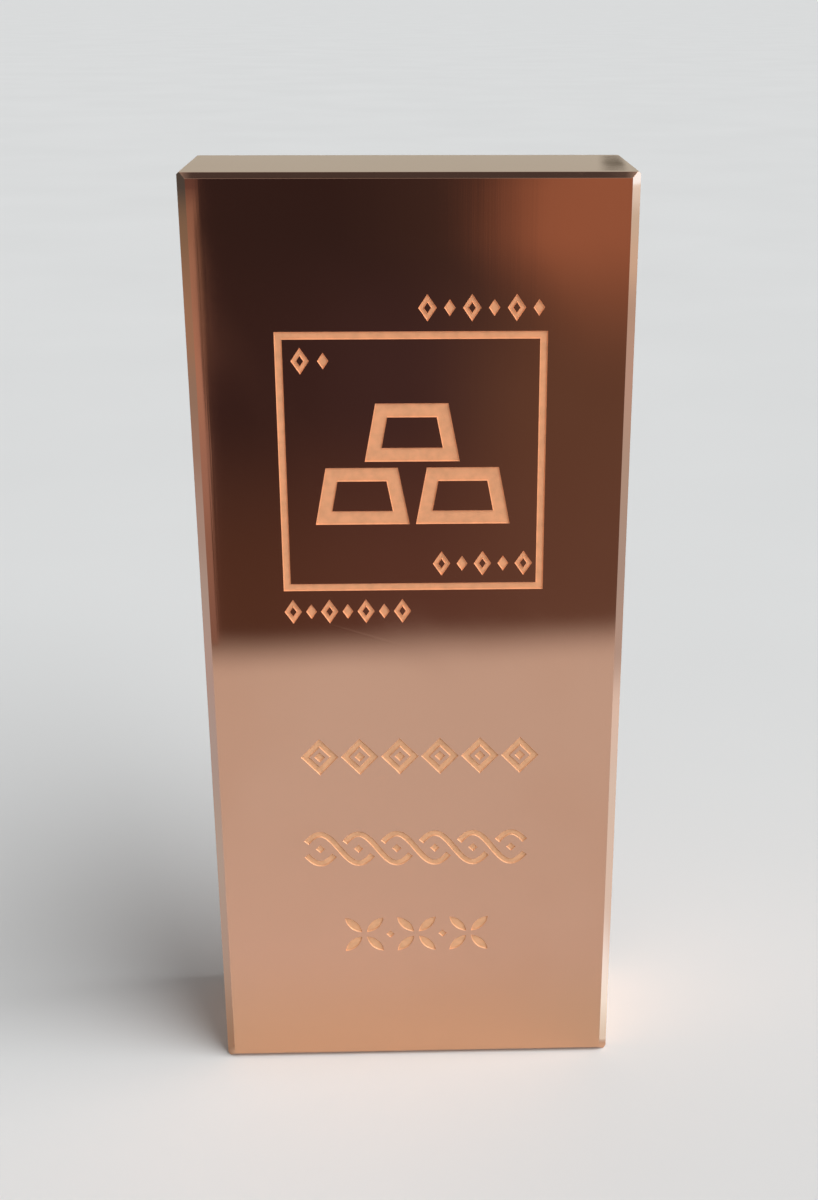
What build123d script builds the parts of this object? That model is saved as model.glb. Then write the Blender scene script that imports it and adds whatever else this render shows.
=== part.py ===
from build123d import *
import os

# Copper ingot, in millimetres. It is one length of polished flat bar. The rims of its two
# broad faces are chamfered, and its short edges through the thickness are only broken, so
# that its corners stay square. It stands on one end, its broad front face looks towards -Y,
# and the origin is the middle of the end that it stands on.

# The flat bar that the ingot is cut from
bar_width = 50.0
bar_thickness = 20.0

# The length that the saw leaves between the two finished ends
bar_length = 112.5

# Leg of the 45 degree chamfer down the long edges of both broad faces
long_edge_chamfer = 1.0

# Leg of the 45 degree chamfer where the broad faces meet the two ends
end_edge_chamfer = 0.6

# Leg of the 45 degree break along the four short edges, from one broad face to the other
corner_break = 0.25


def rims_along(bar, axis):
    """The four edges of both broad faces that run along one axis."""
    edges = bar.edges().filter_by(axis)
    return [edge for edge in edges if abs(abs(edge.center().Y) - bar_thickness / 2) < 1e-6]


def make_blank():
    """The bar sawn to length, with every edge still sharp."""
    blank = Box(bar_width, bar_thickness, bar_length)
    return blank.moved(Location((0, 0, bar_length / 2)))


def chamfer_broad_faces(blank):
    """The rim of each broad face taken down, the long sides a little further than the ends."""
    bar = blank.chamfer(long_edge_chamfer, None, rims_along(blank, Axis.Z))
    return bar.chamfer(end_edge_chamfer, None, rims_along(bar, Axis.X))


def break_corners(bar):
    """The four short edges through the thickness broken, which leaves the corners nearly square."""
    return bar.chamfer(corner_break, None, bar.edges().filter_by(Axis.Y))


copper_bar = break_corners(chamfer_broad_faces(make_blank()))
copper_bar.label = "copper_bar"

os.makedirs("parts", exist_ok=True)
export_step(copper_bar, "parts/copper_bar.step")
print(f"copper_bar: {copper_bar.volume / 1000:.2f} cm3")
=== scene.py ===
import math

import bmesh
import bpy
from mathutils import Matrix, Vector


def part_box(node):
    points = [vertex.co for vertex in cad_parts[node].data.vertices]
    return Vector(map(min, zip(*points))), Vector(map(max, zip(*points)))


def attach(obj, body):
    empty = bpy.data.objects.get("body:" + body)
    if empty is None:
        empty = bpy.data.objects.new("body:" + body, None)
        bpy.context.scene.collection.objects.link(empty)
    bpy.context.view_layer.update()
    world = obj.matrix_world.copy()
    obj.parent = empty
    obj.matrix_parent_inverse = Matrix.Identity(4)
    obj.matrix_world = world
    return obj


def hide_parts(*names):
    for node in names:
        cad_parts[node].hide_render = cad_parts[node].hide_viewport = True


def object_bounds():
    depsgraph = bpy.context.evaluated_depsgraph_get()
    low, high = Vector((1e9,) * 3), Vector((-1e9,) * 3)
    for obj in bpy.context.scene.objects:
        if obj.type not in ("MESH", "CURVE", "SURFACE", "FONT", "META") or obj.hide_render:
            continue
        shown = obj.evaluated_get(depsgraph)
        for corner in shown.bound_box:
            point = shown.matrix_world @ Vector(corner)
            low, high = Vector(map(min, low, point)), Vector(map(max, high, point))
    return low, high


bl_info = {
    "name": "Copper Ingot",
    "version": (1, 0, 0),
    "blender": (4, 5, 0),
    "location": "View3D > Sidebar > Ingot",
    "description": "Polishes and engraves a copper bar, and stands it on a pale studio floor",
    "category": "Object",
}

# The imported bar, and its box before anything is added to it
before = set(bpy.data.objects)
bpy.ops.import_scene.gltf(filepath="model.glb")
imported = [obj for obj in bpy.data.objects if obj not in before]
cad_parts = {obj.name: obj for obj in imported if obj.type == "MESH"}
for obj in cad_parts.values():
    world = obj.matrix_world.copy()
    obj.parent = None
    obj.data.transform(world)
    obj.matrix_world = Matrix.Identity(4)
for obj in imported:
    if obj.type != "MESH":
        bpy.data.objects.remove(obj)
cad_low, cad_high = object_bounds()

# One millimetre, in metres
MM = 0.001

BAR_NODE = "copper_bar"
BAR_PIECE = "engraved_bar"

# Flat faces of the chamfered bar, before its edges are rounded
FLAT_FACES = 18

# Material slots of the finished bar
POLISHED = 0
ETCHED = 1


class IngotBarSettings(bpy.types.PropertyGroup):
    """Sizes and finish of the polished bar."""

    arris: bpy.props.FloatProperty(
        name="Arris",
        description="Width of the rounding that polishing leaves on every edge",
        default=0.008 * MM,
        min=0.0,
        unit="LENGTH",
    )
    polished_colour: bpy.props.FloatVectorProperty(
        name="Polished copper",
        description="Reflected colour of the clean polished metal",
        default=(0.735, 0.425, 0.297),
        min=0.0,
        max=1.0,
        subtype="COLOR",
    )
    toned_colour: bpy.props.FloatVectorProperty(
        name="Toned copper",
        description="Reflected colour where the polish has begun to darken",
        default=(0.71, 0.40, 0.273),
        min=0.0,
        max=1.0,
        subtype="COLOR",
    )
    # Painted shade: this colour makes the polish darker and more orange towards the foot. It stands in
    # for the contact shadow and warm floor bounce that the lowest part of the faces mirrors.
    foot_shade_colour: bpy.props.FloatVectorProperty(
        name="Copper with painted foot shade",
        description="Reflected colour at the foot of the bar, where the polish is a little warmer",
        default=(0.69, 0.393, 0.243),
        min=0.0,
        max=1.0,
        subtype="COLOR",
    )
    polish_roughness: bpy.props.FloatProperty(
        name="Polish roughness",
        description="Roughness of the cleanest stretches of the mirror polish",
        default=0.045,
        min=0.0,
        max=1.0,
    )
    haze_roughness: bpy.props.FloatProperty(
        name="Haze roughness",
        description="Roughness where wiping has left a faint haze",
        default=0.10,
        min=0.0,
        max=1.0,
    )


class IngotMarkSettings(bpy.types.PropertyGroup):
    """Sizes and finish of the marks that are etched in the broad face."""

    depth: bpy.props.FloatProperty(
        name="Depth",
        description="Depth of the etched marks below the face",
        default=0.15 * MM,
        min=0.0,
        unit="LENGTH",
    )
    draft: bpy.props.FloatProperty(
        name="Wall slope",
        description="How far the walls of a mark lean from upright",
        default=math.radians(30.0),
        subtype="ANGLE",
    )
    frame_side: bpy.props.FloatProperty(
        name="Frame side",
        description="Outer side of the square frame",
        default=30.4 * MM,
        unit="LENGTH",
    )
    frame_line: bpy.props.FloatProperty(
        name="Frame line",
        description="Width of the square frame's line",
        default=0.85 * MM,
        unit="LENGTH",
    )
    frame_height: bpy.props.FloatProperty(
        name="Frame height",
        description="Height of the frame's middle above the foot of the bar",
        default=80.3 * MM,
        unit="LENGTH",
    )
    badge_width: bpy.props.FloatProperty(
        name="Badge width",
        description="Width of the stack of bars inside the frame",
        default=22.4 * MM,
        unit="LENGTH",
    )
    badge_height: bpy.props.FloatProperty(
        name="Badge height",
        description="Height of the stack of bars inside the frame",
        default=14.2 * MM,
        unit="LENGTH",
    )
    badge_line: bpy.props.FloatProperty(
        name="Badge line",
        description="Width of the line that the stack of bars is drawn with",
        default=1.6 * MM,
        unit="LENGTH",
    )
    bead_height: bpy.props.FloatProperty(
        name="Bead height",
        description="Height of the small lozenges round the frame",
        default=3.0 * MM,
        unit="LENGTH",
    )
    bead_line: bpy.props.FloatProperty(
        name="Bead line",
        description="Width of the line that the small lozenges are drawn with",
        default=0.52 * MM,
        unit="LENGTH",
    )
    band_height: bpy.props.FloatProperty(
        name="Band height",
        description="Height of each ornament band on the lower half of the face",
        default=4.9 * MM,
        unit="LENGTH",
    )
    band_line: bpy.props.FloatProperty(
        name="Band line",
        description="Width of the line that the ornament bands are drawn with",
        default=0.78 * MM,
        unit="LENGTH",
    )
    etched_colour: bpy.props.FloatVectorProperty(
        name="Etched copper",
        description="Colour of the frosted metal in the framed marks",
        default=(0.94, 0.44, 0.222),
        min=0.0,
        max=1.0,
        subtype="COLOR",
    )
    # The marks in the three bands below the frame get a yellower, less red colour than the framed
    # marks. Only the colour changes with height.
    lower_bands_colour: bpy.props.FloatVectorProperty(
        name="Lower bands copper",
        description="Colour of the frosted metal in the three bands below the frame",
        default=(0.86, 0.47, 0.255),
        min=0.0,
        max=1.0,
        subtype="COLOR",
    )
    etched_roughness: bpy.props.FloatProperty(
        name="Etched roughness",
        description="Roughness of the frosted metal in the marks",
        default=0.55,
        min=0.0,
        max=1.0,
    )


class IngotStageSettings(bpy.types.PropertyGroup):
    """The floor, the lamps and what the polished faces mirror."""

    floor_colour: bpy.props.FloatVectorProperty(
        name="Floor",
        description="Colour of the pale studio floor",
        default=(0.76, 0.77, 0.77),
        min=0.0,
        max=1.0,
        subtype="COLOR",
    )
    sky_strength: bpy.props.FloatProperty(
        name="Soft light",
        description="Strength of the even light from all round",
        default=0.28,
        min=0.0,
    )
    key_strength: bpy.props.FloatProperty(
        name="Key light",
        description="Strength of the broad soft lamp at the front right",
        default=3.35,
        min=0.0,
    )
    mat_reach: bpy.props.FloatProperty(
        name="Pale mat",
        description="Distance from the bar's axis at which the pale table ends in the reflections",
        default=151.7 * MM,
        unit="LENGTH",
    )


class NodeTree:
    """A shader that is written one node at a time."""

    def __init__(self, tree):
        tree.nodes.clear()
        self.tree = tree

    def add(self, kind, inputs=None, **settings):
        """A new node. An input is a plain value, or the socket that feeds it."""
        node = self.tree.nodes.new(kind)
        for name, value in settings.items():
            setattr(node, name, value)
        for socket, value in (inputs or {}).items():
            if isinstance(value, bpy.types.NodeSocket):
                self.tree.links.new(value, node.inputs[socket])
            else:
                node.inputs[socket].default_value = value
        return node

    def mix_colour(self, factor, first, second):
        """The socket of a blend between two colours."""
        inputs = {0: factor, 6: first, 7: second}
        return self.add("ShaderNodeMix", inputs, data_type="RGBA").outputs[2]

    def between(self, value, low, high, to_low=0.0, to_high=1.0, smooth=False):
        """The socket of a value stretched from one range to another."""
        inputs = {0: value, 1: low, 2: high, 3: to_low, 4: to_high}
        kind = "SMOOTHSTEP" if smooth else "LINEAR"
        return self.add("ShaderNodeMapRange", inputs, interpolation_type=kind).outputs[0]

    def math(self, operation, first, second=0.0, third=0.0):
        """The socket of a sum on one to three values."""
        inputs = {0: first, 1: second, 2: third}
        return self.add("ShaderNodeMath", inputs, operation=operation).outputs[0]

    def axes(self, place):
        """The sockets of a place's three coordinates."""
        return self.add("ShaderNodeSeparateXYZ", {0: place}).outputs

    def noise(self, place, scale, detail=2.0, stretch=None, turn=0.0):
        """The socket of a noise, stretched along the axes if asked and turned about Y."""
        if stretch is not None:
            inputs = {0: place, "Rotation": (0.0, turn, 0.0)}
            turned = self.add("ShaderNodeMapping", inputs).outputs[0]
            place = self.add("ShaderNodeMapping", {0: turned, "Scale": stretch}).outputs[0]
        inputs = {"Vector": place, "Scale": scale, "Detail": detail}
        return self.add("ShaderNodeTexNoise", inputs).outputs[0]

    def bump(self, height, distance, below=None):
        """The socket of a normal that follows a height in metres, on top of another."""
        inputs = {"Height": height, "Distance": distance, "Strength": 1.0}
        if below is not None:
            inputs["Normal"] = below
        return self.add("ShaderNodeBump", inputs).outputs[0]

    def surface(self, inputs):
        """The finished surface of a solid thing."""
        shader = self.add("ShaderNodeBsdfPrincipled", inputs)
        self.add("ShaderNodeOutputMaterial", {0: shader.outputs[0]})

    def card(self, colour, shown):
        """The finished surface of a card, which glows where it is shown and is clear elsewhere."""
        glow = self.add("ShaderNodeEmission", {0: colour, 1: 1.0}).outputs[0]
        clear = self.add("ShaderNodeBsdfTransparent").outputs[0]
        mixed = self.add("ShaderNodeMixShader", {0: shown, 1: clear, 2: glow}).outputs[0]
        self.add("ShaderNodeOutputMaterial", {0: mixed})


def new_material(name):
    """An empty material and its tree."""
    material = bpy.data.materials.new(name)
    material.use_nodes = True
    return material, NodeTree(material.node_tree)


def opaque(colour):
    """A colour with its alpha."""
    return (*colour, 1.0)


def rolled_edges(tree, place, below):
    """The socket of a normal that falls off a little towards the rims, where buffing rolls them."""
    margin = 1.8 * MM
    steepness = 8.0
    middle = (cad_low + cad_high) / 2
    half = (cad_high - cad_low) / 2
    flat = half - Vector((margin, margin, margin))
    centred = tree.add("ShaderNodeVectorMath", {0: place, 1: middle}, operation="SUBTRACT")
    away = tree.add("ShaderNodeVectorMath", {0: centred.outputs[0]}, operation="ABSOLUTE")
    past = tree.add("ShaderNodeVectorMath", {0: away.outputs[0], 1: flat}, operation="SUBTRACT")
    inputs = {0: past.outputs[0], 1: (0.0, 0.0, 0.0)}
    rim = tree.add("ShaderNodeVectorMath", inputs, operation="MAXIMUM").outputs[0]
    inputs = {0: rim, 1: rim}
    square = tree.add("ShaderNodeVectorMath", inputs, operation="DOT_PRODUCT").outputs["Value"]
    return tree.bump(tree.math("MULTIPLY", square, -steepness), 1.0, below)


def polished_copper(bar):
    """Mirror polish with slow waves, fine buffing lines, a wiped haze and a few hairlines."""
    material, tree = new_material("polished_copper")
    place = tree.add("ShaderNodeTexCoord").outputs["Object"]

    tone = tree.between(tree.noise(place, 30.0, 3.0), 0.42, 0.68, smooth=True)
    colour = tree.mix_colour(tone, opaque(bar.polished_colour), opaque(bar.toned_colour))
    # Painted shade and painted warm bounce: over the lowest 18 mm the colour turns darker and more
    # orange.
    foot = tree.between(tree.axes(place)[2], 2.0 * MM, 18.0 * MM, 1.0, 0.0, smooth=True)
    colour = tree.mix_colour(foot, colour, opaque(bar.foot_shade_colour))

    wipe = tree.noise(place, 60.0, 5.0, stretch=(1.0, 1.0, 0.35), turn=0.5)
    haze = tree.between(wipe, 0.4, 0.72, bar.polish_roughness, bar.haze_roughness, smooth=True)

    # Which way each set of hairlines leans, in radians, and how fine it is
    hairline_sets = ((0.32, 900.0), (-0.75, 700.0), (1.25, 800.0))
    hairline_roughness = 0.04
    scratch = 0.0
    for lean, fineness in hairline_sets:
        streak = tree.noise(place, 1.0, 1.0, stretch=(fineness, fineness, 22.0), turn=lean)
        scratch = tree.math("MAXIMUM", tree.between(streak, 0.74, 0.8), scratch)
    roughness = tree.math("ADD", haze, tree.math("MULTIPLY", scratch, hairline_roughness))

    # Heights of the slow waves, the buffing lines, the finest lines and the hairlines
    waves = tree.bump(tree.noise(place, 38.0, 1.0), 0.03 * MM)
    streaks = tree.noise(place, 1.0, 2.0, stretch=(1100.0, 1100.0, 14.0))
    buffed = tree.bump(streaks, 0.0012 * MM, waves)
    lines = tree.noise(place, 1.0, 2.0, stretch=(5200.0, 5200.0, 60.0))
    fine = tree.bump(lines, 0.0005 * MM, buffed)
    scored = tree.bump(scratch, -0.0002 * MM, fine)
    normal = rolled_edges(tree, place, scored)

    inputs = {"Base Color": colour, "Metallic": 1.0, "Roughness": roughness, "Normal": normal}
    tree.surface(inputs)
    return material


def etched_copper(marks):
    """Frosted metal in the marks: a fine grain, cloudy in tone."""
    material, tree = new_material("etched_copper")
    place = tree.add("ShaderNodeTexCoord").outputs["Object"]
    # Below 50 mm the marks take the lower bands' colour, and above 58 mm the framed marks' colour.
    framed = tree.between(tree.axes(place)[2], 50.0 * MM, 58.0 * MM)
    etched = tree.mix_colour(framed, opaque(marks.lower_bands_colour), opaque(marks.etched_colour))
    cloud = tree.between(tree.noise(place, 900.0, 4.0), 0.35, 0.7, 1.0, 0.86)
    colour = tree.add("ShaderNodeVectorMath", {0: etched, 3: cloud}, operation="SCALE").outputs[0]
    unevenness = 0.07
    low = marks.etched_roughness - unevenness
    high = marks.etched_roughness + unevenness
    roughness = tree.between(tree.noise(place, 2500.0, 3.0), 0.3, 0.7, low, high)
    grain = tree.bump(tree.noise(place, 7000.0, 3.0), 0.012 * MM)
    inputs = {"Base Color": colour, "Metallic": 0.25, "Roughness": roughness, "Normal": grain}
    tree.surface(inputs)
    return material


# Marks. A point is how far across the face and how high it lies. Each mark gives two rails, the
# edges of its line grown by some amount on each side: the outer and the inner one, or the right
# and the left one of an open line. A filled mark has only the outer one. The two rails run the
# same way, point for point.


def offset_loop(loop, distance):
    """The loop with each side moved outwards, or inwards by a negative distance."""
    moved = []
    for before, point, after in zip(loop[-1:] + loop[:-1], loop, loop[1:] + loop[:1]):
        arriving = (point - before).normalized()
        leaving = (after - point).normalized()
        side = Vector((arriving.y, -arriving.x))
        next_side = Vector((leaving.y, -leaving.x))
        corner = (side + next_side).normalized()
        moved.append(point + corner * (distance / corner.dot(side)))
    return moved


class Filled:
    """The whole inside of a loop of corners."""

    closed = True

    def __init__(self, loop):
        self.loop = loop

    def rails(self, grow):
        return offset_loop(self.loop, grow), None


class Outline:
    """A line round the inside of a loop of corners."""

    closed = True

    def __init__(self, loop, line):
        self.loop = loop
        self.line = line

    def rails(self, grow):
        return offset_loop(self.loop, grow), offset_loop(self.loop, -self.line - grow)


class Stroke:
    """A line along an open run of points, with square ends."""

    closed = False

    def __init__(self, points, line):
        self.points = points
        self.line = line

    def rails(self, grow):
        right = []
        left = []
        last = len(self.points) - 1
        for number, point in enumerate(self.points):
            before = self.points[max(number - 1, 0)]
            after = self.points[min(number + 1, last)]
            along = (after - before).normalized()
            reach = grow * ((number == last) - (number == 0))
            side = Vector((along.y, -along.x)) * (self.line / 2 + grow)
            right.append(point + along * reach + side)
            left.append(point + along * reach - side)
        return right, left


class Petal:
    """The inside of a pointed oval between two arcs, which keeps the arcs' centres as it grows."""

    closed = True
    steps = 9

    def __init__(self, middle, angle, half_length, half_width):
        self.middle = middle
        self.spin = Matrix.Rotation(angle, 2)
        self.radius = (half_length**2 + half_width**2) / (2 * half_width)
        self.centre = self.radius - half_width

    def rails(self, grow):
        radius = self.radius + grow
        sweep = math.acos(self.centre / radius)
        arc = []
        for step in range(self.steps):
            turn = sweep * (1 - 2 * step / self.steps)
            arc.append(Vector((radius * math.sin(turn), radius * math.cos(turn) - self.centre)))
        points = arc + [-point for point in arc]
        return [self.middle + self.spin @ point for point in points], None


def rectangle(middle, width, height):
    across = Vector((width / 2, 0.0))
    up = Vector((0.0, height / 2))
    return [middle - across - up, middle + across - up, middle + across + up, middle - across + up]


def lozenge(middle, width, height):
    across = Vector((width / 2, 0.0))
    up = Vector((0.0, height / 2))
    return [middle - up, middle + across, middle + up, middle - across]


def bar_end(foot, foot_width, top_width, height):
    """The end view of a cast bar, which stands on its broader side."""
    foot_half = Vector((foot_width / 2, 0.0))
    top_half = Vector((top_width / 2, 0.0))
    top = foot + Vector((0.0, height))
    return [foot - foot_half, foot + foot_half, top + top_half, top - top_half]


def stacked_bars(middle, width, height, line):
    """Three cast bars seen from their ends, one on top of two."""
    gap = 0.45 * line
    foot_width = (width - gap) / 2
    top_width = 0.76 * foot_width
    bar_height = (height - gap) / 2
    foot = middle.y - height / 2
    apart = (foot_width + gap) / 2
    feet = [
        Vector((middle.x - apart, foot)),
        Vector((middle.x + apart, foot)),
        Vector((middle.x, foot + bar_height + gap)),
    ]
    return [Outline(bar_end(spot, foot_width, top_width, bar_height), line) for spot in feet]


def bead_row(left, right, height, count, bead_height, line):
    """Small lozenges side by side, every second one smaller and filled."""
    bead_width = 0.68 * bead_height
    smaller = 0.62
    pitch = (right - left - bead_width) / (count - 1)
    shapes = []
    for number in range(count):
        middle = Vector((left + bead_width / 2 + number * pitch, height))
        if number % 2 == 0:
            shapes.append(Outline(lozenge(middle, bead_width, bead_height), line))
        else:
            shapes.append(Filled(lozenge(middle, smaller * bead_width, smaller * bead_height)))
    return shapes


def lozenge_chain(middle, width, height, count, line):
    """Lozenges tip to tip, each round a small filled one."""
    pitch = width / count
    gap = 0.4 * line
    seed = 0.27 * height
    shapes = []
    for number in range(count):
        spot = middle + Vector(((number + 0.5) * pitch - width / 2, 0.0))
        shapes.append(Outline(lozenge(spot, pitch - gap, height), line))
        shapes.append(Filled(lozenge(spot, seed, seed)))
    return shapes


def twist_band(middle, width, height, count, line):
    """Two strands that wind over and under each other, with a bead in each eye."""
    eye = width / count
    swing = (height - line) / 2
    gap = 0.85 * line
    seed = 0.24 * height
    steps = 24
    shapes = []
    for strand in (0, 1):
        sense = 1 - 2 * strand
        for start in range(-strand, count, 2):
            first = max(start, 0) * eye + gap
            last = min(start + 2, count) * eye - gap
            points = []
            for step in range(steps + 1):
                across = first + (last - first) * step / steps
                lift = sense * swing * math.sin(math.pi * across / eye)
                points.append(middle + Vector((across - width / 2, lift)))
            shapes.append(Stroke(points, line))
    for number in range(count):
        spot = middle + Vector(((number + 0.5) * eye - width / 2, 0.0))
        shapes.append(Filled(lozenge(spot, seed, seed)))
    return shapes


def rosette_row(middle, width, height, count):
    """Four-petalled flowers side by side, with a small lozenge between each pair."""
    pitch = (width - height) / (count - 1)
    heart = 0.09 * height
    half_length = (height / math.sqrt(2.0) - heart) / 2
    half_width = 0.38 * half_length
    seed = 0.22 * height
    shapes = []
    for number in range(count):
        spot = middle + Vector(((number - (count - 1) / 2) * pitch, 0.0))
        for quarter in range(4):
            angle = quarter * math.pi / 2 + math.pi / 4
            away = Vector((math.cos(angle), math.sin(angle))) * (heart + half_length)
            shapes.append(Petal(spot + away, angle, half_length, half_width))
        if number < count - 1:
            shapes.append(Filled(lozenge(spot + Vector((pitch / 2, 0.0)), seed, seed)))
    return shapes


def framed_marks(marks):
    """The square frame, the stack of bars in it, and the rows of beads at its corners."""
    half = marks.frame_side / 2
    middle = Vector((0.0, marks.frame_height))
    top = middle.y + half
    foot = middle.y - half
    half_bead = marks.bead_height / 2
    bead = (marks.bead_height, marks.bead_line)

    # How far the beads stand clear of the frame, outside it and inside it
    clearance = 1.1 * MM
    inset = 1.75 * MM
    inner_left = -half + inset
    inner_right = half - 0.75 * inset

    # Lengths of the four rows
    above = 14.4 * MM
    under_top = 4.6 * MM
    over_foot = 11.6 * MM
    below = 14.9 * MM

    shapes = [Outline(rectangle(middle, 2 * half, 2 * half), marks.frame_line)]
    shapes += stacked_bars(middle, marks.badge_width, marks.badge_height, marks.badge_line)
    shapes += bead_row(half - above, half, top + clearance + half_bead, 6, *bead)
    shapes += bead_row(inner_left, inner_left + under_top, top - inset - half_bead, 2, *bead)
    shapes += bead_row(inner_right - over_foot, inner_right, foot + inset + half_bead, 5, *bead)
    shapes += bead_row(-half, -half + below, foot - clearance - half_bead, 7, *bead)
    return shapes


def ornament_bands(marks):
    """The three bands on the lower half of the face."""
    height = marks.band_height
    line = marks.band_line
    chain_middle = Vector((0.6 * MM, 43.5 * MM))
    twist_middle = Vector((0.0, 30.8 * MM))
    rosette_middle = Vector((0.0, 18.4 * MM))
    chain_width = 29.4 * MM
    twist_width = 28.6 * MM
    rosette_width = 18.2 * MM
    shapes = lozenge_chain(chain_middle, chain_width, height, 6, line)
    shapes += twist_band(twist_middle, twist_width, height, 6, line)
    shapes += rosette_row(rosette_middle, rosette_width, height, 3)
    return shapes


def add_prism(mesh, shape, front, marks):
    """One mark's cutter: it narrows from just outside the face to the floor of the mark."""
    lip = 0.05 * MM
    lean = math.tan(marks.draft)

    def corners(rail, reach):
        return [mesh.verts.new((point.x, front + reach, point.y)) for point in rail]

    outer_lip, inner_lip = shape.rails(lip * lean)
    outer_floor, inner_floor = shape.rails(-marks.depth * lean)
    section = [corners(outer_lip, -lip), corners(outer_floor, marks.depth)]
    if inner_lip is None:
        mesh.faces.new(section[0])
        mesh.faces.new(section[1])
        sides = [section]
    else:
        section += [corners(inner_floor, marks.depth), corners(inner_lip, -lip)]
        sides = list(zip(section, section[1:] + section[:1]))
    count = len(outer_lip)
    for first, second in sides:
        for number in range(count if shape.closed else count - 1):
            after = (number + 1) % count
            mesh.faces.new((first[number], first[after], second[after], second[number]))
    if not shape.closed:
        mesh.faces.new([rail[0] for rail in section])
        mesh.faces.new([rail[-1] for rail in section])


def mesh_data_of(mesh, name):
    """The mesh as an object's data. The working copy is freed."""
    data = bpy.data.meshes.new(name)
    mesh.to_mesh(data)
    mesh.free()
    return data


def new_object(name, mesh_data, materials):
    """A mesh object in the scene."""
    piece = bpy.data.objects.new(name, mesh_data)
    bpy.context.scene.collection.objects.link(piece)
    for material in materials:
        mesh_data.materials.append(material)
    return piece


class INGOT_OT_make_bar(bpy.types.Operator):
    """Copy the bar, round its edges as polishing does and give it the polished finish"""

    bl_idname = "ingot.make_bar"
    bl_label = "Make Bar"

    def execute(self, context):
        settings = context.scene.ingot_bar
        mesh = bmesh.new()
        mesh.from_mesh(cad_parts[BAR_NODE].data)
        bmesh.ops.remove_doubles(mesh, verts=mesh.verts, dist=0.001 * MM)
        bmesh.ops.dissolve_limit(
            mesh, angle_limit=math.radians(1.0), verts=mesh.verts, edges=mesh.edges
        )
        if len(mesh.faces) != FLAT_FACES:
            raise RuntimeError(f"the bar has {len(mesh.faces)} faces, not {FLAT_FACES}")
        bmesh.ops.bevel(
            mesh,
            geom=mesh.edges[:],
            offset=settings.arris,
            segments=2,
            profile=0.5,
            affect="EDGES",
            clamp_overlap=True,
        )
        finishes = [polished_copper(settings), etched_copper(context.scene.ingot_marks)]
        bar = new_object(BAR_PIECE, mesh_data_of(mesh, BAR_PIECE), finishes)
        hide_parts(BAR_NODE)
        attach(bar, "root")
        return {"FINISHED"}


class INGOT_OT_engrave_marks(bpy.types.Operator):
    """Cut the marks into the front of the bar"""

    bl_idname = "ingot.engrave_marks"
    bl_label = "Engrave Marks"

    def execute(self, context):
        marks = context.scene.ingot_marks
        bar = bpy.data.objects[BAR_PIECE]
        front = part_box(BAR_NODE)[0].y
        mesh = bmesh.new()
        for shape in framed_marks(marks) + ornament_bands(marks):
            add_prism(mesh, shape, front, marks)
        bmesh.ops.recalc_face_normals(mesh, faces=mesh.faces)
        for face in mesh.faces:
            face.material_index = ETCHED
        cutters = mesh_data_of(mesh, "mark_cutters")
        cutter = new_object("mark_cutters", cutters, bar.data.materials[:])

        cut = bar.modifiers.new("Marks", "BOOLEAN")
        cut.operation = "DIFFERENCE"
        cut.solver = "EXACT"
        cut.material_mode = "INDEX"
        cut.object = cutter
        context.view_layer.update()
        shown = bar.evaluated_get(context.evaluated_depsgraph_get())
        engraved = bpy.data.meshes.new_from_object(shown)
        bar.modifiers.remove(cut)
        bar.data = engraved
        bpy.data.objects.remove(cutter)

        engraved.shade_flat()
        return {"FINISHED"}


def floor_material(stage):
    """A plain matt floor with the faintest unevenness of tone."""
    darkest = 0.97
    material, tree = new_material("studio_floor")
    place = tree.add("ShaderNodeTexCoord").outputs["Object"]
    cloud = tree.between(tree.noise(place, 9.0, 3.0), 0.3, 0.7)
    pale = opaque(stage.floor_colour)
    shade = opaque([darkest * channel for channel in stage.floor_colour])
    colour = tree.mix_colour(cloud, pale, shade)
    inputs = {"Base Color": colour, "Roughness": 1.0, "Specular IOR Level": 0.0}
    tree.surface(inputs)
    return material


def colour_ramp(tree, value, low, high, stops):
    """The socket of a colour that changes with a value. A stop is a value and its colour."""
    node = tree.add("ShaderNodeValToRGB", {0: tree.between(value, low, high)})
    ramp = node.color_ramp
    ramp.interpolation = "EASE"
    places = [((at - low) / (high - low), colour) for at, colour in stops]
    ramp.elements[0].position = places[0][0]
    ramp.elements[0].color = opaque(places[0][1])
    ramp.elements[1].position = places[-1][0]
    ramp.elements[1].color = opaque(places[-1][1])
    for position, colour in places[1:-1]:
        ramp.elements.new(position).color = opaque(colour)
    return node.outputs[0]


# Colours round the bar at three distances, as degrees from straight in front, positive to the right
NEAR_COLOURS = [
    (-180.0, (0.50, 0.49, 0.45)),
    (-110.0, (0.52, 0.44, 0.36)),
    (-40.0, (0.20, 0.13, 0.10)),
    (-12.0, (0.115, 0.067, 0.052)),
    (0.0, (0.135, 0.078, 0.067)),
    (12.0, (0.165, 0.106, 0.087)),
    (60.0, (0.34, 0.29, 0.26)),
    (100.0, (0.52, 0.50, 0.50)),
    (180.0, (0.50, 0.49, 0.45)),
]
MIDDLE_COLOURS = [
    (-180.0, (0.49, 0.48, 0.42)),
    (-100.0, (0.40, 0.34, 0.28)),
    (-40.0, (0.10, 0.065, 0.055)),
    (-9.0, (0.046, 0.029, 0.031)),
    (0.0, (0.067, 0.044, 0.050)),
    (7.5, (0.155, 0.100, 0.078)),
    (30.0, (0.22, 0.15, 0.12)),
    (75.0, (0.50, 0.48, 0.47)),
    (110.0, (0.55, 0.52, 0.50)),
    (180.0, (0.49, 0.48, 0.42)),
]
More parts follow.
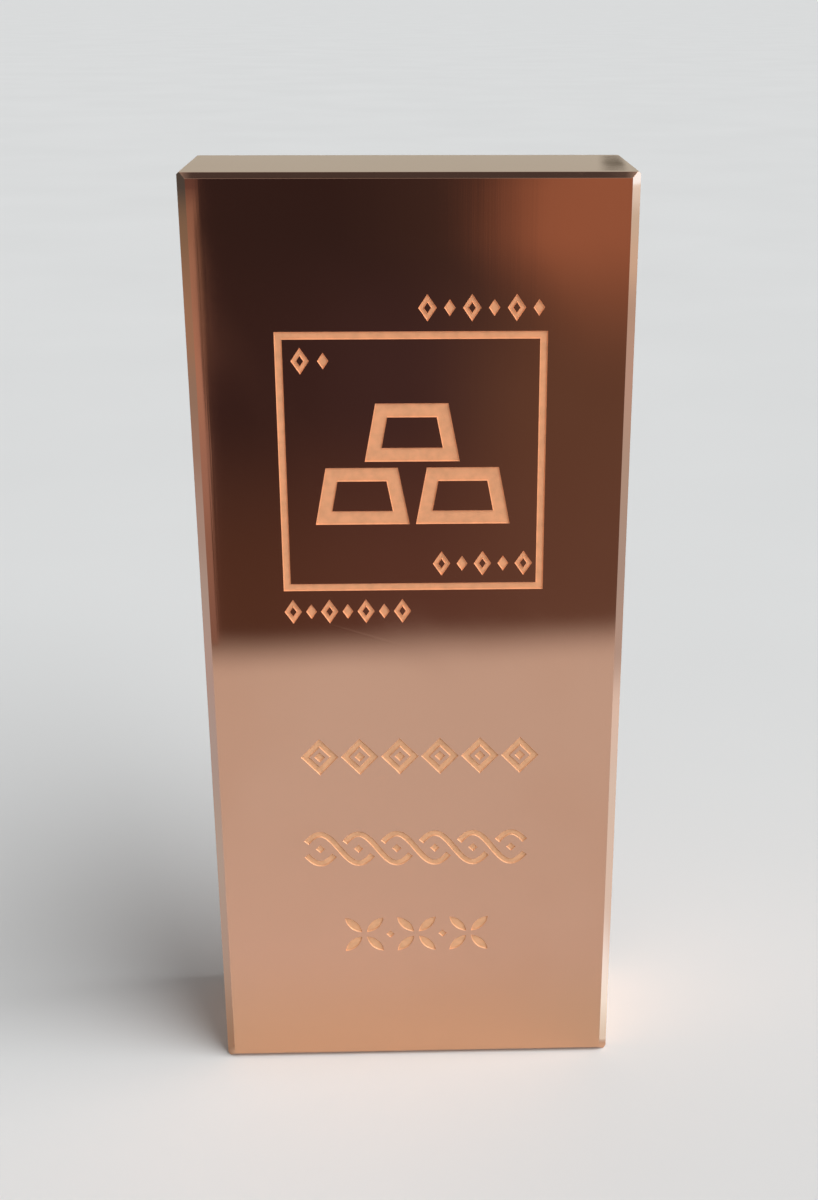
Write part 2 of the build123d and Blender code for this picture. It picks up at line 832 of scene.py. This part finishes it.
FAR_COLOURS = [
    (-180.0, (0.50, 0.48, 0.40)),
    (-120.0, (0.34, 0.28, 0.21)),
    (-95.0, (0.22, 0.18, 0.15)),
    (-50.0, (0.08, 0.055, 0.048)),
    (-8.0, (0.042, 0.029, 0.031)),
    (-3.0, (0.042, 0.029, 0.031)),
    (2.0, (0.062, 0.043, 0.042)),
    (6.3, (0.39, 0.195, 0.128)),
    (30.0, (0.25, 0.15, 0.11)),
    (75.0, (0.80, 0.86, 0.86)),
    (110.0, (0.90, 0.98, 1.00)),
    (150.0, (0.50, 0.48, 0.41)),
    (180.0, (0.50, 0.48, 0.40)),
]

# Colours straight out to each side, as metres from the bar's axis, and how far out they go
SIDE_REACH = 1.5
LEFT_COLOURS = [
    (0.026, (0.44, 0.39, 0.35)),
    (0.035, (0.49, 0.49, 0.49)),
    (0.045, (0.54, 0.60, 0.64)),
    (0.08, (0.57, 0.70, 0.78)),
    (0.12, (0.55, 0.67, 0.80)),
    (0.16, (0.58, 0.66, 0.78)),
    (0.20, (0.54, 0.64, 0.73)),
    (0.255, (0.51, 0.545, 0.60)),
    (0.34, (0.42, 0.385, 0.37)),
    (0.40, (0.38, 0.36, 0.34)),
    (0.51, (0.44, 0.36, 0.29)),
    (0.83, (0.29, 0.27, 0.22)),
    (1.04, (0.10, 0.12, 0.13)),
    (1.38, (0.10, 0.12, 0.13)),
    (1.50, (0.36, 0.33, 0.28)),
]
RIGHT_COLOURS = [
    (0.03, (0.80, 0.87, 0.90)),
    (0.05, (0.90, 1.05, 1.14)),
    (0.07, (0.95, 1.16, 1.29)),
    (0.10, (0.92, 1.15, 1.29)),
    (0.135, (0.95, 1.10, 1.20)),
    (0.165, (0.58, 0.62, 0.66)),
    (0.22, (0.53, 0.60, 0.66)),
    (0.30, (0.57, 0.63, 0.66)),
    (0.42, (0.64, 0.64, 0.67)),
    (0.55, (0.61, 0.63, 0.63)),
    (0.70, (0.81, 0.86, 0.82)),
    (0.87, (0.76, 0.90, 0.90)),
    (0.99, (0.98, 1.24, 1.38)),
    (1.12, (1.05, 1.30, 1.44)),
    (1.18, (1.34, 2.00, 2.60)),
    (1.38, (1.34, 2.00, 2.60)),
    (1.50, (0.62, 0.62, 0.60)),
]

# The bright strip that the right chamfer mirrors close to the foot
GLINT_COLOUR = (1.29, 1.79, 2.25)


def past_mat(tree, place, mat_reach):
    """The socket that goes from 0 on the pale mat to 1 beyond it. The mat's corners are round."""
    skew = math.radians(4.6)
    corner_softness = 20.0 * MM
    fade_inside = 11.0 * MM
    fade_outside = 18.0 * MM
    turned = tree.add("ShaderNodeMapping", {0: place, "Rotation": (0.0, 0.0, skew)}).outputs[0]
    axes = tree.axes(turned)
    across = tree.math("ABSOLUTE", axes[0])
    along = tree.math("ABSOLUTE", axes[1])
    reach = tree.math("SMOOTH_MAX", across, along, corner_softness)
    return tree.between(reach, mat_reach - fade_inside, mat_reach + fade_outside, smooth=True)


def room_colour(tree, turn, distance):
    """The socket of the room's colour, from the degrees round from in front and the distance."""
    near_end = 0.17
    middle_at = 0.38
    far_from = 0.80

    # Nearer than this, the far colours lean to the left by so many degrees a metre
    upright_from = 0.74
    lean = 12.0
    short = tree.math("MAXIMUM", tree.math("SUBTRACT", upright_from, distance), 0.0)
    leaning = tree.math("SUBTRACT", turn, tree.math("MULTIPLY", short, lean))

    near = colour_ramp(tree, turn, -180.0, 180.0, NEAR_COLOURS)
    middle = colour_ramp(tree, turn, -180.0, 180.0, MIDDLE_COLOURS)
    far = colour_ramp(tree, leaning, -180.0, 180.0, FAR_COLOURS)
    colour = tree.mix_colour(tree.between(distance, near_end, middle_at, smooth=True), near, middle)
    return tree.mix_colour(tree.between(distance, middle_at, far_from, smooth=True), colour, far)


def foot_glint(tree, depth, distance):
    """The socket of how much the bright strip beside the right foot shows."""
    # The strip runs outwards from the front edge, soft at its sides and at both its ends
    strip_depth = -9.5 * MM
    beside = tree.math("ABSOLUTE", tree.math("SUBTRACT", depth, strip_depth))
    strip = tree.between(beside, 2.0 * MM, 8.0 * MM, 1.0, 0.0, smooth=True)
    start = tree.between(distance, 29.0 * MM, 36.0 * MM, 0.5, 1.0)
    end = tree.between(distance, 40.0 * MM, 68.0 * MM, 1.0, 0.0, smooth=True)
    return tree.math("MULTIPLY", strip, tree.math("MULTIPLY", start, end))


def with_sides(tree, colour, axes, turn, distance):
    """The colour with those of both sides laid over it, and the socket of where they cover it."""
    # Degrees from in front to straight out, and how far off that a side's colours fade away
    straight_out = 92.0
    fade_from = 22.0
    fade_to = 38.0
    off_side = tree.math("ABSOLUTE", tree.math("SUBTRACT", tree.math("ABSOLUTE", turn), straight_out))
    sideways = tree.between(off_side, fade_from, fade_to, 1.0, 0.0)
    wall = cad_high.x
    clear_of_wall = wall + 1.2 * MM
    at_left = tree.math("MULTIPLY", sideways, tree.between(axes[0], -wall, -clear_of_wall))
    at_right = tree.math("MULTIPLY", sideways, tree.between(axes[0], wall, clear_of_wall))

    left = colour_ramp(tree, distance, 0.0, SIDE_REACH, LEFT_COLOURS)
    right = colour_ramp(tree, distance, 0.0, SIDE_REACH, RIGHT_COLOURS)
    glint = foot_glint(tree, axes[1], distance)
    right = tree.mix_colour(glint, right, opaque(GLINT_COLOUR))
    colour = tree.mix_colour(at_left, colour, left)
    colour = tree.mix_colour(at_right, colour, right)
    return colour, tree.math("MAXIMUM", at_left, at_right)


def surround_material(stage):
    """What the polish mirrors beyond the pale mat: dark in front, grey behind, bright at the right."""
    material, tree = new_material("studio_surround")
    place = tree.add("ShaderNodeTexCoord").outputs["Object"]
    axes = tree.axes(place)
    backwards = tree.math("MULTIPLY", axes[1], -1.0)
    radians = tree.math("ARCTAN2", axes[0], backwards)
    turn = tree.math("MULTIPLY", radians, math.degrees(1.0))
    flat = tree.add("ShaderNodeCombineXYZ", {0: axes[0], 1: axes[1]}).outputs[0]
    distance = tree.add("ShaderNodeVectorMath", {0: flat}, operation="LENGTH").outputs["Value"]

    room = room_colour(tree, turn, distance)
    colour, at_sides = with_sides(tree, room, axes, turn, distance)
    outside = past_mat(tree, place, stage.mat_reach)
    tree.card(colour, tree.math("MAXIMUM", outside, at_sides))
    return material


def surround_mesh():
    """A shallow bowl: a flat ring on the floor, then a wall that leans outwards."""
    # Radius and height of each ring, in metres
    profile = [(0.018, 0.0003), (1.3, 0.0003), (1.6, 0.12), (1.75, 0.5)]
    segments = 96
    mesh = bmesh.new()
    rings = []
    for radius, height in profile:
        ring = []
        for number in range(segments):
            angle = 2 * math.pi * number / segments
            ring.append(mesh.verts.new((radius * math.cos(angle), radius * math.sin(angle), height)))
        rings.append(ring)
    for lower, upper in zip(rings, rings[1:]):
        for number in range(segments):
            after = (number + 1) % segments
            mesh.faces.new((lower[number], lower[after], upper[after], upper[number]))
    return mesh_data_of(mesh, "surround")


def only_mirrored(card):
    """A stage piece that only the bar's reflections show."""
    card.visible_camera = False
    card.visible_diffuse = False
    card.visible_transmission = False
    card.visible_volume_scatter = False
    card.visible_shadow = False


def plane_mesh(name, side):
    """A flat square."""
    mesh = bmesh.new()
    bmesh.ops.create_grid(mesh, x_segments=1, y_segments=1, size=side / 2)
    return mesh_data_of(mesh, name)


def card_material(name, colour, fade_from, fade_to):
    """A card of one colour that fades out away from its middle, between two distances."""
    material, tree = new_material(name)
    place = tree.add("ShaderNodeTexCoord").outputs["Object"]
    distance = tree.add("ShaderNodeVectorMath", {0: place}, operation="LENGTH").outputs["Value"]
    shown = tree.between(distance, fade_from, fade_to, 1.0, 0.0, smooth=True)
    tree.card(opaque(colour), shown)
    return material


# The brown post at the front left, and its colours as metres above the floor
POST_HEIGHT = 0.12
POST_COLOURS = [
    (0.0, (0.29, 0.20, 0.18)),
    (0.02, (0.36, 0.25, 0.22)),
    (0.035, (0.43, 0.30, 0.265)),
    (0.06, (0.52, 0.35, 0.29)),
    (0.08, (0.47, 0.33, 0.27)),
    (0.089, (0.38, 0.26, 0.21)),
    (0.096, (0.18, 0.11, 0.10)),
    (0.12, (0.08, 0.06, 0.06)),
]


def post_material():
    """The brown post, which the polish mirrors as a warm stripe along the left edge."""
    material, tree = new_material("brown_post")
    height = tree.axes(tree.add("ShaderNodeTexCoord").outputs["Object"])[2]
    colour = colour_ramp(tree, height, 0.0, POST_HEIGHT, POST_COLOURS)
    glow = tree.add("ShaderNodeEmission", {0: colour, 1: 1.0})
    tree.add("ShaderNodeOutputMaterial", {0: glow.outputs[0]})
    return material


def post_mesh():
    """An upright card whose right edge is a little uneven."""
    # How far back and how far left it reaches, and its right edge from the floor up, in metres
    depth = -0.157
    left = -0.16
    right_edge = [(-0.0412, 0.0), (-0.0407, 0.043), (-0.0411, 0.062), (-0.0410, 0.084)]
    right_edge += [(-0.0401, 0.095), (-0.0396, POST_HEIGHT)]
    corners = [(left, POST_HEIGHT), (left, 0.0)] + right_edge
    mesh = bmesh.new()
    mesh.faces.new([mesh.verts.new((across, depth, height)) for across, height in corners])
    return mesh_data_of(mesh, "brown_post")


def make_world(stage):
    """Even light from all round, behind which a pale background shows."""
    sky_colour = (0.84, 0.85, 0.86)
    background_strength = 0.94
    world = bpy.data.worlds.new("studio")
    bpy.context.scene.world = world
    world.use_nodes = True
    tree = NodeTree(world.node_tree)
    path = tree.add("ShaderNodeLightPath")
    seen = tree.math("MAXIMUM", path.outputs["Is Camera Ray"], path.outputs["Is Glossy Ray"])
    seen = tree.math("MAXIMUM", seen, path.outputs["Is Transmission Ray"])
    inputs = {0: opaque(sky_colour), 1: stage.sky_strength}
    light = tree.add("ShaderNodeBackground", inputs)
    inputs = {0: opaque(stage.floor_colour), 1: background_strength}
    shown = tree.add("ShaderNodeBackground", inputs)
    mixed = tree.add("ShaderNodeMixShader", {0: seen, 1: light.outputs[0], 2: shown.outputs[0]})
    tree.add("ShaderNodeOutputWorld", {0: mixed.outputs[0]})


def add_key_lamp(strength):
    """A broad lamp far off at the front right, which lights the whole floor alike."""
    breadth = math.radians(60.0)
    place = Vector((0.85, -0.5, 0.85))
    data = bpy.data.lights.new("key_lamp", "SUN")
    data.energy = strength
    data.angle = breadth
    lamp = bpy.data.objects.new("key_lamp", data)
    bpy.context.scene.collection.objects.link(lamp)
    lamp.location = place
    lamp.rotation_euler = (-place).to_track_quat("-Z", "Y").to_euler()


def add_camera():
    """The photograph's view: from the front and above, turned a little to the right."""
    place = Vector((-0.8, -194.2, 131.4)) * MM
    turn = math.radians(1.99)
    tilt = math.radians(21.90)
    roll = math.radians(0.13)

    # The photograph's size, its focal length and the middle of its lens, in pixels
    frame_width = 818.0
    frame_height = 1200.0
    focal_length = 1664.0
    lens_across = 461.0
    lens_down = 651.0
    sensor = 36.0

    ahead = Vector(
        (math.sin(turn) * math.cos(tilt), math.cos(turn) * math.cos(tilt), -math.sin(tilt))
    )
    level = Vector((math.cos(turn), -math.sin(turn), 0.0))
    above = level.cross(ahead)
    right = math.cos(roll) * level + math.sin(roll) * above
    up = -math.sin(roll) * level + math.cos(roll) * above
    data = bpy.data.cameras.new("photograph_view")
    data.sensor_width = sensor
    data.lens = focal_length / frame_height * sensor
    data.shift_x = (frame_width / 2 - lens_across) / frame_height
    data.shift_y = (lens_down - frame_height / 2) / frame_height
    data.clip_start = 0.01
    camera = bpy.data.objects.new("photograph_view", data)
    bpy.context.scene.collection.objects.link(camera)
    turned = Matrix((right, up, -ahead)).transposed().to_4x4()
    camera.matrix_world = Matrix.Translation(place) @ turned
    bpy.context.scene.camera = camera


def add_floor(stage):
    """A floor far larger than the view, a hair below the foot of the bar."""
    plane = plane_mesh("studio_floor", side=80.0)
    floor = new_object("studio_floor", plane, [floor_material(stage)])
    floor.location.z = -0.02 * MM


def add_cards(stage):
    """Everything that only the polish shows."""
    surround = new_object("studio_surround", surround_mesh(), [surround_material(stage)])
    only_mirrored(surround)

    dark = card_material("overhead_flag", (0.085, 0.08, 0.085), fade_from=0.14, fade_to=0.24)
    flag = new_object("overhead_flag", plane_mesh("overhead_flag", side=0.5), [dark])
    flag.location = (0.0, -0.1, 1.1)
    only_mirrored(flag)

    only_mirrored(new_object("brown_post", post_mesh(), [post_material()]))

    olive = card_material("back_flag", (0.13, 0.115, 0.085), fade_from=0.005, fade_to=0.0125)
    spot = new_object("back_flag", plane_mesh("back_flag", side=0.04), [olive])
    spot.location = (0.1345, 0.9, 0.197)
    spot.rotation_euler = (math.radians(90.0), 0.0, 0.0)
    only_mirrored(spot)


class INGOT_OT_set_stage(bpy.types.Operator):
    """Add the floor, the light, the reflections' surround and the camera"""

    bl_idname = "ingot.set_stage"
    bl_label = "Set Stage"

    def execute(self, context):
        stage = context.scene.ingot_stage
        add_floor(stage)
        add_cards(stage)
        make_world(stage)
        add_key_lamp(stage.key_strength)
        add_camera()
        context.scene.view_settings.view_transform = "Standard"
        return {"FINISHED"}


class INGOT_PT_panel(bpy.types.Panel):
    """The ingot's settings and the steps that make it"""

    bl_label = "Copper Ingot"
    bl_idname = "INGOT_PT_panel"
    bl_space_type = "VIEW_3D"
    bl_region_type = "UI"
    bl_category = "Ingot"

    def draw(self, context):
        scene = context.scene
        steps = (
            (scene.ingot_bar, INGOT_OT_make_bar),
            (scene.ingot_marks, INGOT_OT_engrave_marks),
            (scene.ingot_stage, INGOT_OT_set_stage),
        )
        for settings, step in steps:
            box = self.layout.box()
            for name in settings.__annotations__:
                box.prop(settings, name)
            box.operator(step.bl_idname)


CLASSES = (
    IngotBarSettings,
    IngotMarkSettings,
    IngotStageSettings,
    INGOT_OT_make_bar,
    INGOT_OT_engrave_marks,
    INGOT_OT_set_stage,
    INGOT_PT_panel,
)


def register():
    for each in CLASSES:
        bpy.utils.register_class(each)
    bpy.types.Scene.ingot_bar = bpy.props.PointerProperty(type=IngotBarSettings)
    bpy.types.Scene.ingot_marks = bpy.props.PointerProperty(type=IngotMarkSettings)
    bpy.types.Scene.ingot_stage = bpy.props.PointerProperty(type=IngotStageSettings)


def unregister():
    del bpy.types.Scene.ingot_stage
    del bpy.types.Scene.ingot_marks
    del bpy.types.Scene.ingot_bar
    for each in reversed(CLASSES):
        bpy.utils.unregister_class(each)


def main():
    """Make the ingot and its stage."""
    register()
    bpy.ops.ingot.make_bar()
    bpy.ops.ingot.engrave_marks()
    bpy.ops.ingot.set_stage()


if __name__ == "__main__":
    main()
